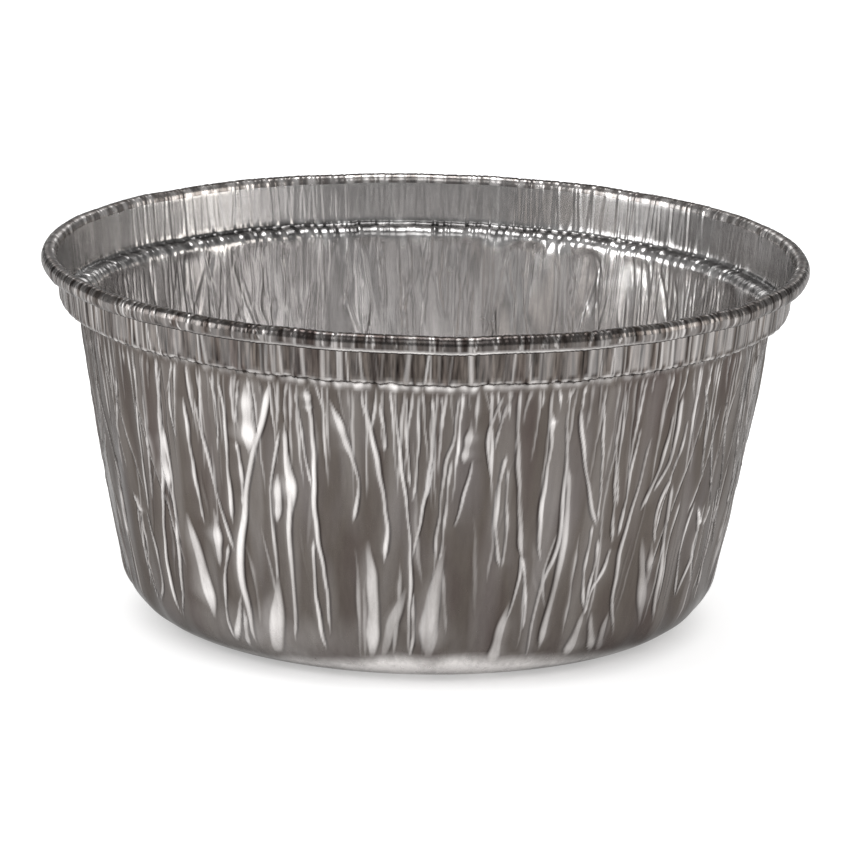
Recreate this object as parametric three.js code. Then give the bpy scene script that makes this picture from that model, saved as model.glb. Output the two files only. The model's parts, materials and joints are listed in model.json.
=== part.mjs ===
// Aluminium foil baking cup: one pressed foil blank with a pleated, tapered wall, a stacking shoulder,
// a short collar and a rim that is curled outwards into a hollow bead.
// Millimetres, +Z up, origin on the resting face under the middle of the cup.
// The blank is modelled zone by zone, in the order in which the press forms it. Neighbouring zones
// share their cut face, so together they are one unbroken sheet of foil.

import * as THREE from "three";

// Driving dimensions
const MOUTH_DIAMETER = 84; // over the rim bead
const CUP_HEIGHT = 40.5; // from the table to the top of the bead
const FOIL = 0.08; // thickness of the sheet
const BEAD_DIAMETER = 1.7; // curled rim, over the foil
const CURL_TURN = THREE.MathUtils.degToRad(285); // how far the edge is rolled round
const COLLAR_DIAMETER = 79.6; // outside the collar, at its foot
const SHOULDER_HEIGHT = 34.7; // underside of the shoulder above the table
const SHOULDER_WIDTH = 1.95; // radial step from the wall to the collar
const SHOULDER_FILLET = 0.5; // inside corner between the wall and the shoulder
const COLLAR_FILLET = 0.7; // outside corner between the shoulder and the collar
const BASE_DIAMETER = 51.6; // flat disc that the cup rests on
const HEEL_RADIUS = 7; // round between the base and the wall, outside
const PLEAT_COUNT = 48; // folds that take up the spare foil
const WALL_PLEAT_DEPTH = 0.45; // crest to valley at the top of the wall
const COLLAR_PLEAT_DEPTH = 0.3; // crest to valley on the collar
const RIM_CRIMP_DEPTH = 0.12; // crest to valley on the bead

// How finely each stretch of the profile is divided
const HEEL_STEPS = 4;
const WALL_STEPS = 4;
const FILLET_STEPS = 2;
const COLLAR_STEPS = 2;
const CURL_STEPS = 3; // in each of the curl's three arcs

const COLUMNS = 2 * PLEAT_COUNT; // one column on each crest and one in each valley
const HALF_FOIL = FOIL / 2;
const UP = Math.PI / 2;

// A station is one point of the foil's middle line: radius, height, the step from the middle line to
// the inner face, and the depth of the pleats there.
function station(radius, height, toInnerRadius, toInnerHeight, pleat) {
  return { radius, height, toInnerRadius, toInnerHeight, pleat };
}

// Straight stretches are cut level, so the step to the inner face is level too and a little longer
// than half the foil.
function levelStation(radius, height, lean, pleat) {
  return station(radius, height, -HALF_FOIL / Math.cos(lean), 0, pleat);
}

// Points of a round bend. Inside is +1 where the cup's inner face looks at the centre of the bend,
// and -1 where it looks away from it.
function bend(centre, radius, from, to, steps, inside, pleatFrom, pleatTo) {
  const stations = [];
  for (let i = 0; i <= steps; i += 1) {
    const share = i / steps;
    const angle = THREE.MathUtils.lerp(from, to, share);
    const outwards = new THREE.Vector2(Math.cos(angle), Math.sin(angle));
    const inner = outwards.clone().multiplyScalar(-inside * HALF_FOIL);
    const point = outwards.multiplyScalar(radius).add(centre);
    const pleat = THREE.MathUtils.lerp(pleatFrom, pleatTo, share);
    stations.push(station(point.x, point.y, inner.x, inner.y, pleat));
  }
  return stations;
}

// Points of a straight stretch that leans out from the vertical.
function straight(from, to, steps, pleatFrom, pleatTo) {
  const lean = Math.atan2(to.x - from.x, to.y - from.y);
  const stations = [];
  for (let i = 0; i <= steps; i += 1) {
    const share = i / steps;
    const point = from.clone().lerp(to, share);
    stations.push(levelStation(point.x, point.y, lean, THREE.MathUtils.lerp(pleatFrom, pleatTo, share)));
  }
  return stations;
}

// Heel: a quarter bend that rises from the flat base and ends where the wall leaves it
const heelMiddle = HEEL_RADIUS - HALF_FOIL;
const heelCentre = new THREE.Vector2(BASE_DIAMETER / 2, HEEL_RADIUS);

// Shoulder: level ring between the wall and the collar
const shoulderMiddle = SHOULDER_HEIGHT + HALF_FOIL;
const collarFoot = new THREE.Vector2(COLLAR_DIAMETER / 2 - HALF_FOIL, shoulderMiddle);
const wallHead = new THREE.Vector2(collarFoot.x - SHOULDER_WIDTH, shoulderMiddle);

// Wall: the straight line from the shoulder's inner corner that just touches the heel
const headFromHeel = wallHead.clone().sub(heelCentre);
const wallLean = UP - headFromHeel.angle() - Math.asin(heelMiddle / headFromHeel.length());
const wallFoot = new THREE.Vector2(Math.cos(wallLean), -Math.sin(wallLean))
  .multiplyScalar(heelMiddle)
  .add(heelCentre);

// Rim: the collar runs straight up until it touches the curl
const curlMiddle = (BEAD_DIAMETER - FOIL) / 2;
const curlCentre = new THREE.Vector2(
  MOUTH_DIAMETER / 2 - RIM_CRIMP_DEPTH / 2 - BEAD_DIAMETER / 2,
  CUP_HEIGHT - BEAD_DIAMETER / 2,
);
const curlFromFoot = curlCentre.clone().sub(collarFoot);
const collarLean = UP - curlFromFoot.angle() - Math.asin(curlMiddle / curlFromFoot.length());
const collarHead = new THREE.Vector2(-Math.cos(collarLean), Math.sin(collarLean))
  .multiplyScalar(curlMiddle)
  .add(curlCentre);

// Fillets: where each leaves its straight stretch, and the centre that it turns about
const alongWall = new THREE.Vector2(Math.sin(wallLean), Math.cos(wallLean));
const alongCollar = new THREE.Vector2(Math.sin(collarLean), Math.cos(collarLean));
const shoulderBend = SHOULDER_FILLET + HALF_FOIL;
const collarBend = COLLAR_FILLET - HALF_FOIL;
const shoulderSetback = shoulderBend * Math.tan((UP - wallLean) / 2);
const collarSetback = collarBend * Math.tan((UP - collarLean) / 2);
const wallEnd = wallHead.clone().addScaledVector(alongWall, -shoulderSetback);
const collarStart = collarFoot.clone().addScaledVector(alongCollar, collarSetback);
const shoulderBendCentre = new THREE.Vector2(wallHead.x + shoulderSetback, shoulderMiddle - shoulderBend);
const collarBendCentre = new THREE.Vector2(collarFoot.x - collarSetback, shoulderMiddle + collarBend);

// The pleats fade in from the base to the shoulder, in step with the height
const heelPleat = WALL_PLEAT_DEPTH * (wallFoot.y / SHOULDER_HEIGHT);

function heelStations() {
  const stations = bend(heelCentre, heelMiddle, -UP, -wallLean, HEEL_STEPS, 1, 0, heelPleat);
  stations[HEEL_STEPS] = levelStation(wallFoot.x, wallFoot.y, wallLean, heelPleat);
  return stations;
}

function wallStations() {
  return straight(wallFoot, wallEnd, WALL_STEPS, heelPleat, WALL_PLEAT_DEPTH);
}

function shoulderStations() {
  const inner = bend(
    shoulderBendCentre, shoulderBend, Math.PI - wallLean, UP, FILLET_STEPS, -1,
    WALL_PLEAT_DEPTH, COLLAR_PLEAT_DEPTH,
  );
  const outer = bend(
    collarBendCentre, collarBend, -UP, -collarLean, FILLET_STEPS, 1,
    COLLAR_PLEAT_DEPTH, COLLAR_PLEAT_DEPTH,
  );
  inner[0] = levelStation(wallEnd.x, wallEnd.y, wallLean, WALL_PLEAT_DEPTH);
  outer[FILLET_STEPS] = levelStation(collarStart.x, collarStart.y, collarLean, COLLAR_PLEAT_DEPTH);
  return [...inner, ...outer];
}

function collarStations() {
  return straight(collarStart, collarHead, COLLAR_STEPS, COLLAR_PLEAT_DEPTH, RIM_CRIMP_DEPTH);
}

// The curl rises to the top of the rim, falls to its widest point and turns back under itself
function curlStations() {
  const start = Math.PI - collarLean;
  const turns = [start, UP, 0, start - CURL_TURN];
  const stations = [levelStation(collarHead.x, collarHead.y, collarLean, RIM_CRIMP_DEPTH)];
  for (let i = 1; i < turns.length; i += 1) {
    const arc = bend(
      curlCentre, curlMiddle, turns[i - 1], turns[i], CURL_STEPS, -1,
      RIM_CRIMP_DEPTH, RIM_CRIMP_DEPTH,
    );
    stations.push(...arc.slice(1));
  }
  return stations;
}

// The closed outline of a zone: up its outer face, then back down its inner face
function outlineOf(stations) {
  const face = (side) => (s) => ({
    radius: s.radius + side * s.toInnerRadius,
    height: s.height + side * s.toInnerHeight,
    pleat: s.pleat,
  });
  return [...stations.map(face(-1)), ...stations.map(face(1)).reverse()];
}

// A point of the outline in one column: crests stand out by half the pleat, valleys lie in by half
function pleatedPoint(point, column) {
  const angle = (2 * Math.PI * column) / COLUMNS;
  const swing = column % 2 === 0 ? 0.5 : -0.5;
  const radius = point.radius + swing * point.pleat;
  return [radius * Math.cos(angle), radius * Math.sin(angle), point.height];
}

function geometryOf(positions, triangles) {
  const geometry = new THREE.BufferGeometry();
  geometry.setAttribute("position", new THREE.Float32BufferAttribute(positions, 3));
  geometry.setIndex(triangles);
  geometry.computeVertexNormals();
  return geometry;
}

// A ring of foil: the zone's outline carried round the axis, column by column
function pleatedRing(stations) {
  const outline = outlineOf(stations);
  const positions = [];
  const triangles = [];
  for (let column = 0; column < COLUMNS; column += 1) {
    const next = (column + 1) % COLUMNS;
    outline.forEach((point, i) => {
      positions.push(...pleatedPoint(point, column));
      const above = (i + 1) % outline.length;
      const corners = [column, next].map((c) => [c * outline.length + i, c * outline.length + above]);
      const [[near, nearAbove], [far, farAbove]] = corners;
      triangles.push(near, far, farAbove, near, farAbove, nearAbove);
    });
  }
  return geometryOf(positions, triangles);
}

// The flat disc that the cup rests on
function baseDisc() {
  return new THREE.CylinderGeometry(BASE_DIAMETER / 2, BASE_DIAMETER / 2, FOIL, COLUMNS)
    .rotateX(UP)
    .translate(0, 0, HALF_FOIL);
}

const bareFoil = { color: 0x8f8a87, roughness: 0.22, metalness: 1 };

function foilZone(name, geometry) {
  const mesh = new THREE.Mesh(geometry, new THREE.MeshStandardMaterial(bareFoil));
  mesh.name = name;
  return mesh;
}

const cup = new THREE.Group();
cup.add(
  foilZone("base_panel", baseDisc()),
  foilZone("heel_bend", pleatedRing(heelStations())),
  foilZone("side_wall", pleatedRing(wallStations())),
  foilZone("stacking_shoulder", pleatedRing(shoulderStations())),
  foilZone("lid_collar", pleatedRing(collarStations())),
  foilZone("rim_curl", pleatedRing(curlStations())),
);

export default cup;
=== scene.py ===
# %% [markdown]
# # A pressed-foil baking cup
# The real cup is one round blank of thin aluminium foil. A punch draws it into a cup, and because the
# rim of the blank has to shrink into a smaller circle, the spare foil gathers into hundreds of folds.
# The frame that is loaded here gives the true sizes. This lesson presses those folds into one sheet,
# cuts the sheet into the frame's zones and lights the cup like a product on a pale table.

# %% Load the frame
import bpy
import json
import math
import numpy as np
from mathutils import Matrix, Vector


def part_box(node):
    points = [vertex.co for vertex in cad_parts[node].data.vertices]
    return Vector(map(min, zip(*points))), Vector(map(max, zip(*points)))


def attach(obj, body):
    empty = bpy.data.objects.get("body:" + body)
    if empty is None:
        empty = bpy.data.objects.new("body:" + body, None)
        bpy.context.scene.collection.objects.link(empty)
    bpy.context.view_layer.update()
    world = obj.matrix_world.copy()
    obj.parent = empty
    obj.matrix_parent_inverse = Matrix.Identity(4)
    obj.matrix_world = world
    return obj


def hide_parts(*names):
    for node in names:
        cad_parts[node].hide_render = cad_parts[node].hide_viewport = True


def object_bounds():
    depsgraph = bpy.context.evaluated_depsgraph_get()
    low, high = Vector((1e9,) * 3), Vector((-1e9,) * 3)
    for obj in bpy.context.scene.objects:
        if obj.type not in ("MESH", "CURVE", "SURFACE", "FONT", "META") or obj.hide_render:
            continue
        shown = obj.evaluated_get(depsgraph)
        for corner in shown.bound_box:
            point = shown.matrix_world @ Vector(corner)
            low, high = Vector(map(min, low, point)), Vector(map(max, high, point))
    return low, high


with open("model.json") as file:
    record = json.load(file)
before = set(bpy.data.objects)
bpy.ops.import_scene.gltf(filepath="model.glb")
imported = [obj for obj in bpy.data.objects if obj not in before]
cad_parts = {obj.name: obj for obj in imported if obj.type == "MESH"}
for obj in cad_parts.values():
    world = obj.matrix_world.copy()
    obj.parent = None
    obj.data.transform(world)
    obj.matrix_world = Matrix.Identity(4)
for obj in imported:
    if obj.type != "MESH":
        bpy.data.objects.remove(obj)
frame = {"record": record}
cad_low, cad_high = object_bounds()
MM = 0.001
print("frame box in mm:", [round(v / MM, 2) for v in (*cad_low, *cad_high)])

# %% [markdown]
# ## The camera
# The picture was taken from about 0.7 m away with a long lens, a little above the rim and with a slight
# tilt. The camera comes first in this lesson, because the folds that show in front are placed by looking
# through it.

# %% Camera
PICTURE = 850
CUP_MIDDLE = (0, 0, 20 * MM)
CAMERA_DISTANCE = 0.7
CAMERA_RISE = math.radians(13.97)
CAMERA_ROLL = math.radians(1.21)
PIXELS_PER_METRE = 9093.0
AIM_RIGHT = 0.33 * MM
AIM_UP = 0.73 * MM

back = Vector((0, -math.cos(CAMERA_RISE), math.sin(CAMERA_RISE)))
level_right = Vector((1, 0, 0))
level_up = back.cross(level_right)
right = level_right * math.cos(CAMERA_ROLL) + level_up * math.sin(CAMERA_ROLL)
up = back.cross(right)
focal_pixels = PIXELS_PER_METRE * CAMERA_DISTANCE
camera = bpy.data.cameras.new("photo_camera")
camera.sensor_width = 36.0
camera.lens = camera.sensor_width * focal_pixels / PICTURE
camera.clip_start = 0.01
camera.clip_end = 20.0
stand = bpy.data.objects.new("photo_camera", camera)
bpy.context.scene.collection.objects.link(stand)
aim = Vector(CUP_MIDDLE) + right * AIM_RIGHT + up * AIM_UP
turn = Matrix((right, up, back)).transposed()
stand.matrix_world = Matrix.Translation(aim + back * CAMERA_DISTANCE) @ turn.to_4x4()
bpy.context.scene.camera = stand
bpy.context.scene.view_settings.view_transform = "Standard"
print("lens", round(camera.lens, 1), "mm")

# %% [markdown]
# ## The section of the cup
# Turned on a lathe, the cup would be one line from the middle of the base to the tip of the curl. The
# line could be drawn by eye, but the frame already knows where each zone begins and ends, so the
# large sizes are read from it and only the small ones are named here. The rolled bead is an upright
# oval, and the corner under the shoulder is softly rounded. All lengths are in metres and follow the
# middle of the foil.

# %% Read the sizes of the section
FOIL = 0.08 * MM
HEEL_RADIUS = 7.0 * MM
SHOULDER_FILLET = 1.2 * MM
SHOULDER_WIDTH = 1.95 * MM
COLLAR_DIAMETER = 79.6 * MM
COLLAR_FILLET = 0.7 * MM
COLLAR_LEAN = math.radians(6.0)
BEAD_DIAMETER = 1.7 * MM
BEAD_STRETCH = 1.22
CURL_TURN = math.radians(285)
RIM_ALLOWANCE = 0.06 * MM

half_foil = FOIL / 2
mount_heights = {m["name"]: m["pos_m"][2] for m in frame["record"]["mounts"]}
mouth_radius = cad_high.x
cup_height = cad_high.z
base_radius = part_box("base_panel")[1].x
shoulder_level = mount_heights["shoulder_underside"] + half_foil
collar_foot_radius = COLLAR_DIAMETER / 2 - half_foil
print("mouth", round(mouth_radius / MM, 2), "base", round(base_radius / MM, 2))

# %% Find the bends of the section
heel_bend_radius = HEEL_RADIUS - half_foil
shoulder_bend = SHOULDER_FILLET + half_foil
collar_bend = COLLAR_FILLET - half_foil
curl_radius = BEAD_DIAMETER / 2 - half_foil

heel_centre = Vector((base_radius, HEEL_RADIUS))
wall_head = Vector((collar_foot_radius - SHOULDER_WIDTH, shoulder_level))
curl_centre = Vector((mouth_radius - RIM_ALLOWANCE - half_foil - curl_radius,
                      cup_height - half_foil - BEAD_STRETCH * curl_radius))


def lean_to_touch(centre, radius, head):
    """Angle off the vertical of the line from head that touches a circle on its far side."""
    away = head - centre
    return math.pi / 2 - math.atan2(away.y, away.x) - math.asin(radius / away.length)


def outward(lean):
    """Outward normal of a wall that leans out by this angle."""
    return Vector((math.cos(lean), -math.sin(lean)))


wall_lean = lean_to_touch(heel_centre, heel_bend_radius, wall_head)
wall_foot = heel_centre + outward(wall_lean) * heel_bend_radius
shoulder_turn = math.pi / 2 - wall_lean
wall_run = Vector((math.sin(wall_lean), math.cos(wall_lean)))
wall_end = wall_head - wall_run * shoulder_bend * math.tan(shoulder_turn / 2)
shoulder_centre = wall_end + outward(wall_lean) * shoulder_bend
print("wall leans", round(math.degrees(wall_lean), 2), "degrees")

# %% Find the collar
collar_foot = Vector((collar_foot_radius, shoulder_level))
collar_turn = math.pi / 2 - COLLAR_LEAN
collar_centre = collar_foot + Vector((-collar_bend * math.tan(collar_turn / 2), collar_bend))
collar_start = collar_centre + outward(COLLAR_LEAN) * collar_bend
collar_head = curl_centre - outward(COLLAR_LEAN) * curl_radius
print("collar from", round(collar_start.y / MM, 2), "to", round(collar_head.y / MM, 2), "mm high")


# %% Draw the stations of the section
BASE_STEPS = 5
HEEL_STEPS = 20
WALL_STEPS = 30
SHOULDER_STEPS = (8, 2, 4)
COLLAR_STEPS = 10
BEAD_STEPS = 22


def straight(start, end, steps):
    """Stations along a line, without its start, which the stretch before it has."""
    return [start.lerp(end, i / steps) for i in range(1, steps + 1)]


def arc(centre, radius, start, end, steps):
    """Stations along a round bend, without its start."""
    turns = [start + (end - start) * i / steps for i in range(1, steps + 1)]
    return [centre + radius * Vector((math.cos(t), math.sin(t))) for t in turns]


QUARTER = math.pi / 2
curl_start = math.pi - COLLAR_LEAN
base_middle = Vector((0, half_foil))
base_edge = Vector((base_radius, half_foil))
flat_start = Vector((shoulder_centre.x, shoulder_level))
flat_end = Vector((collar_centre.x, shoulder_level))
wall_third = wall_foot.lerp(wall_end, 1 / 3)
wall_two_thirds = wall_foot.lerp(wall_end, 2 / 3)
shoulder_path = arc(shoulder_centre, shoulder_bend, math.pi - wall_lean, QUARTER, SHOULDER_STEPS[0])
shoulder_path += straight(flat_start, flat_end, SHOULDER_STEPS[1])
shoulder_path += arc(collar_centre, collar_bend, -QUARTER, -COLLAR_LEAN, SHOULDER_STEPS[2])
bead_path = arc(curl_centre, curl_radius, curl_start, curl_start - CURL_TURN, BEAD_STEPS)
for point in bead_path:
    point.y = curl_centre.y + (point.y - curl_centre.y) * BEAD_STRETCH

zone_paths = [
    ("base", straight(base_middle, base_edge, BASE_STEPS)),
    ("heel", arc(heel_centre, heel_bend_radius, -QUARTER, -wall_lean, HEEL_STEPS)),
    ("wall_low", straight(wall_foot, wall_third, WALL_STEPS)),
    ("wall_mid", straight(wall_third, wall_two_thirds, WALL_STEPS)),
    ("wall_high", straight(wall_two_thirds, wall_end, WALL_STEPS)),
    ("shoulder", shoulder_path),
    ("collar", straight(collar_start, collar_head, COLLAR_STEPS)),
    ("rim", bead_path),
]
stations = [base_middle]
zone_of_strip = []
for zone, path in zone_paths:
    stations += path
    zone_of_strip += [zone] * len(path)
print(len(stations), "stations,", len(zone_paths), "stretches")

# %% [markdown]
# ## The smooth blank
# A single point is pushed along the stations with extrude, as a profile is drawn by hand, and Screw
# turns it round the cup's axis. Screw leaves a double seam and a heap of points on the axis, so the
# doubles are merged and the faces are turned outwards before anything else is done. The columns are
# close together because the finest folds are only a third of a millimetre wide.

# %% Turn the blank
COLUMNS = 1600
MERGE_GAP = 0.001 * MM


def upright(point):
    """A station of the section, stood up in front of the axis."""
    return Vector((0, -point.x, point.y))


bpy.ops.object.select_all(action="DESELECT")
bpy.ops.mesh.primitive_plane_add(size=MM)
blank = bpy.context.object
blank.name = "foil_blank"
bpy.ops.object.mode_set(mode="EDIT")
bpy.ops.mesh.merge(type="CENTER")
bpy.ops.transform.translate(value=upright(stations[0]))
for near, far in zip(stations, stations[1:]):
    bpy.ops.mesh.extrude_vertices_move(TRANSFORM_OT_translate={"value": upright(far) - upright(near)})
bpy.ops.object.mode_set(mode="OBJECT")
turning = blank.modifiers.new("turned_round", "SCREW")
turning.axis = "Z"
turning.angle = math.tau
turning.steps = COLUMNS
turning.render_steps = COLUMNS
turning.use_merge_vertices = True
turning.merge_threshold = MERGE_GAP
bpy.ops.object.modifier_apply(modifier=turning.name)
print("turned in", COLUMNS, "columns")

# %% Close the seam and turn the faces outwards
bpy.ops.object.mode_set(mode="EDIT")
bpy.ops.mesh.select_all(action="SELECT")
bpy.ops.mesh.remove_doubles(threshold=MERGE_GAP)
bpy.ops.mesh.normals_make_consistent(inside=False)
bpy.ops.object.mode_set(mode="OBJECT")
sheet = blank.data
side_face = max(sheet.polygons, key=lambda f: abs(f.center.z - CUP_MIDDLE[2]) < MM)
if side_face.normal.dot(Vector((side_face.center.x, side_face.center.y, 0))) < 0:
    sheet.flip_normals()
print("blank:", len(sheet.vertices), "points,", len(sheet.polygons), "faces")

# %% [markdown]
# ## Reading each point's place on the foil
# To draw folds, a maker thinks in two numbers: how far round the cup a point is, and how far down the
# foil it lies. Both come from the point's place. Round is zero at the front and grows to the right.
# Fall is the length of foil below the top of the wall, in millimetres, so that fold sizes can be given
# in plain numbers. On the shoulder, the collar and the rim it is below zero.

# %% Measure round and fall
BATCH = 20000


def end_row(zone):
    """Number of the station at which a zone ends."""
    return len(zone_of_strip) - zone_of_strip[::-1].index(zone)


points = np.empty(len(sheet.vertices) * 3)
sheet.vertices.foreach_get("co", points)
points = points.reshape(-1, 3)
around = np.arctan2(points[:, 0], -points[:, 1])
radius_mm = np.hypot(points[:, 0], points[:, 1]) / MM
section = np.array([(p.x, p.y) for p in stations]) / MM
row = np.empty(len(points), int)
for start in range(0, len(points), BATCH):
    here = slice(start, start + BATCH)
    offset = np.stack([radius_mm[here], points[here, 2] / MM], 1)[:, None, :] - section[None]
    row[here] = (offset ** 2).sum(2).argmin(1)

steps_mm = np.hypot(*np.diff(section, axis=0).T)
length_to = np.concatenate([[0], np.cumsum(steps_mm)])
fall_of_row = length_to[end_row("wall_high")] - length_to
fall = fall_of_row[row]
wall_length = (wall_end - wall_foot).length / MM
heel_length = heel_bend_radius * (QUARTER - wall_lean) / MM
print("wall", round(wall_length, 1), "mm long, heel", round(heel_length, 1), "mm long")

# %% [markdown]
# Folds push the foil along its own normal, so the normal of the section is worked out once per
# station and turned round the axis for each point.

# %% Find the foil's normals
along = np.gradient(section, axis=0)
along /= np.hypot(along[:, 0], along[:, 1])[:, None]
out_r, out_z = along[:, 1][row], -along[:, 0][row]
away = np.stack([np.sin(around), -np.cos(around)], 1)
foil_out = np.column_stack([away * out_r[:, None], out_z])
print("normals for", len(foil_out), "points")

# %% [markdown]
# ## Folds of the wall
# Pressed foil folds in tongues: two sharp creases run side by side, wander, meet others and close to a
# point near the heel. Each crease gets a painted highlight along it, and a shallow groove with painted
# shade beside it. Carving them by hand would take days, so one crease tool is written, which raises a
# ridge along any path. It also leaves two notes on the points, the painted highlight and the painted
# shade, and the finish reads them later.

# %% Small helpers for shapes that fade
draw = np.random.default_rng(31)
relief = np.zeros(len(points))
# Notes for the outside: painted highlight where the foil would catch the light, and painted shade.
painted_highlight = np.zeros(len(points))
painted_shade = np.zeros(len(points))


def ease(x):
    """Goes smoothly from 0 to 1 and stays there."""
    x = np.clip(x, 0, 1)
    return x * x * (3 - 2 * x)


def bell(x, width):
    """Is 1 at zero and fades out to both sides."""
    return np.exp(-(x / width) ** 2)


def turn_between(angle, centre):
    """Turn from centre to angle, the shorter way round."""
    return (angle - centre + math.pi) % math.tau - math.pi


def paint_highlight(share):
    """Paints a highlight on the outside, at least this bright."""
    np.maximum(painted_highlight, share, out=painted_highlight)


def paint_shade(share):
    """Paints shade on the outside, at least this dark."""
    np.maximum(painted_shade, share, out=painted_shade)


def spread_round(count, jitter=0.9):
    """Places round the cup, one after the other, each a little off its even spacing."""
    for i in range(count):
        yield (i + jitter * (draw.random() - 0.5)) * math.tau / count


print("helpers ready for", len(points), "points")

# %% Crease tool
WALL_RADIUS = 34
FOLD_FREE_RADIUS = 20
FACET_WIDTH = 1.1
FACET_REACH = 2.5
FLANK_STRETCH = 2.3
NARROWEST = 0.1
WIDEST_HOLLOW = 0.2
HOLLOW_DEPTH = 0.45
WIGGLE = 0.04


def rounded_path(path):
    """Cuts the corners of a path twice, as a bent wire would round them."""
    for _ in range(2):
        near, far = path[:-1], path[1:]
        cut = np.stack([0.75 * near + 0.25 * far, 0.25 * near + 0.75 * far], 1).reshape(-1, 2)
        path = np.concatenate([path[:1], cut, path[-1:]])
    return path


def points_near(path, width):
    """Points of the foil that a crease along this path can reach."""
    middle = path[:, 0].mean()
    spread = np.abs(path[:, 0] - middle).max()
    reach = (width * 3 + FACET_REACH) / WALL_RADIUS
    near = (fall > path[0, 1]) & (fall < path[-1, 1]) & (radius_mm > FOLD_FREE_RADIUS)
    near &= np.abs(turn_between(around, middle)) < spread + reach
    return np.flatnonzero(near)


def crease(path, width, shine, height=0.08, ends=(0.12, 0.2), shade=1.0, side=1, soft=0.22, veil=0.0,
           crisp=4):
    """Raises a crease along a path of (round, fall) places. Width and height are in mm.

    One flank is steep and has a shallow groove beside it, with painted shade by the share named shade.
    The other fades out, by the share named soft, into a broad facet with a painted highlight by the share
    named veil. The ridge and its soft flank take a painted highlight by the share named shine. The crisper
    the crease, the flatter its top."""
    path = rounded_path(np.array(path, float))
    path = path[np.argsort(path[:, 1], kind="stable")]
    top, end = path[0, 1], path[-1, 1]
    pick = points_near(path, width)
    centre = np.interp(fall[pick], path[:, 1], path[:, 0])
    slope = np.gradient(path[:, 0]) / np.maximum(np.gradient(path[:, 1]), 0.05)
    slant = np.interp(fall[pick], path[:, 1], slope) * radius_mm[pick]
    run = (fall[pick] - top) / (end - top)
    wiggle = WIGGLE * np.sin(fall[pick] * draw.uniform(0.8, 1.6) + draw.uniform(0, math.tau))
    across = turn_between(around[pick], centre) * radius_mm[pick] + wiggle
    across *= side / np.hypot(1, slant)
    uneven = 0.82 + 0.18 * np.sin(run * draw.uniform(6, 15) + draw.uniform(0, math.tau))
    taper = ease(run / ends[0]) * ease((1 - run) / ends[1])
    half = np.maximum(width / 2 * (0.25 + 0.75 * taper) * uneven, NARROWEST)
    ridge = np.exp(-np.abs(across / half) ** crisp)
    flank = np.where(across < 0, soft * bell(across, half * FLANK_STRETCH), 0)
    crown = np.maximum(ridge, flank) * np.sqrt(taper)
    facet = np.where(across < 0, veil * bell(across, half + FACET_WIDTH) * np.sqrt(taper), 0)
    gap = np.minimum(half, WIDEST_HOLLOW) * 0.8
    beside = bell(across - half - gap, gap) * np.sqrt(taper)
    relief[pick] += height * (crown - HOLLOW_DEPTH * beside)
    # Painted highlight on the ridge and the facet, painted shade in the groove beside it.
    painted_highlight[pick] = np.maximum(painted_highlight[pick], shine * np.maximum(crown, facet) * uneven)
    painted_shade[pick] = np.maximum(painted_shade[pick], shade * beside)


print("crease tool ready")

# %% [markdown]
# The places of the folds in front were read off an enlarged left half and right half of the view, and
# each reading is sent through the camera onto the smooth section to find how far round and how far
# down the foil it lies.

# %% Place through the camera
READING_ZOOM = 4.356
LEFT_CORNER = (80, 340)
RIGHT_CORNER = (420, 340)
WALL_MIDDLE_READING = (1500, 700)
RAY_BEFORE = 0.07
RAY_BEYOND = 0.02
RAY_STEPS = 1800

outer_rows = slice(BASE_STEPS, end_row("wall_high") + 1)
outer_height = section[outer_rows, 1]
outer_radius = section[outer_rows, 0]
outer_fall = fall_of_row[outer_rows]


def through_camera(corner, reading):
    """Where the ray of a reading first meets the smooth cup, as (round, fall)."""
    x = corner[0] + reading[0] / READING_ZOOM - PICTURE / 2
    y = PICTURE / 2 - corner[1] - reading[1] / READING_ZOOM
    ray = (right * x + up * y) / focal_pixels - back
    reach = np.linspace(CAMERA_DISTANCE - RAY_BEFORE, CAMERA_DISTANCE + RAY_BEYOND, RAY_STEPS)
    trail = (np.array(stand.matrix_world.translation) + reach[:, None] * np.array(ray)) / MM
    from_axis = np.hypot(trail[:, 0], trail[:, 1])
    inside = from_axis <= np.interp(trail[:, 2], outer_height, outer_radius)
    hit = trail[inside.argmax() if inside.any() else from_axis.argmin()]
    return math.atan2(hit[0], -hit[1]), np.interp(hit[2], outer_height, outer_fall)


print("middle of the wall:", [round(v, 2) for v in through_camera(LEFT_CORNER, WALL_MIDDLE_READING)])

# %% [markdown]
# Two kinds of fold are seen. A lens is a short, broad facet that swells and closes again, and a long
# crease is a narrow line. Both get a weaker painted highlight in the middle of the front, which faces
# the camera.

# %% Front creases
LENS = dict(ends=(0.5, 0.28), height=0.11, shade=0.8, soft=0.34, veil=0.12, crisp=6)
LONG = dict(ends=(0.08, 0.1), height=0.08, veil=0.07)
LENS_START = 0.3
CENTRE_CALM = 0.18
CENTRE_WIDTH = 0.35
seen_paths = []


def crease_front(corner, creases, lens_width, long_width, side):
    """Lays the creases of one half and keeps them, so that the sides and the back can repeat them."""
    for width, shine, readings, kind in creases:
        path = [through_camera(corner, reading) for reading in readings]
        width *= lens_width if kind["ends"][0] > LENS_START else long_width
        # Weaker painted highlight in the middle of the front.
        shine *= 1 - CENTRE_CALM * bell(path[0][0], CENTRE_WIDTH)
        seen_paths.append((path, width, shine, side, kind))
        crease(path, width, shine, side=side, **kind)


print("a lens is", LENS["height"], "mm high, a long crease", LONG["height"], "mm")

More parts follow.
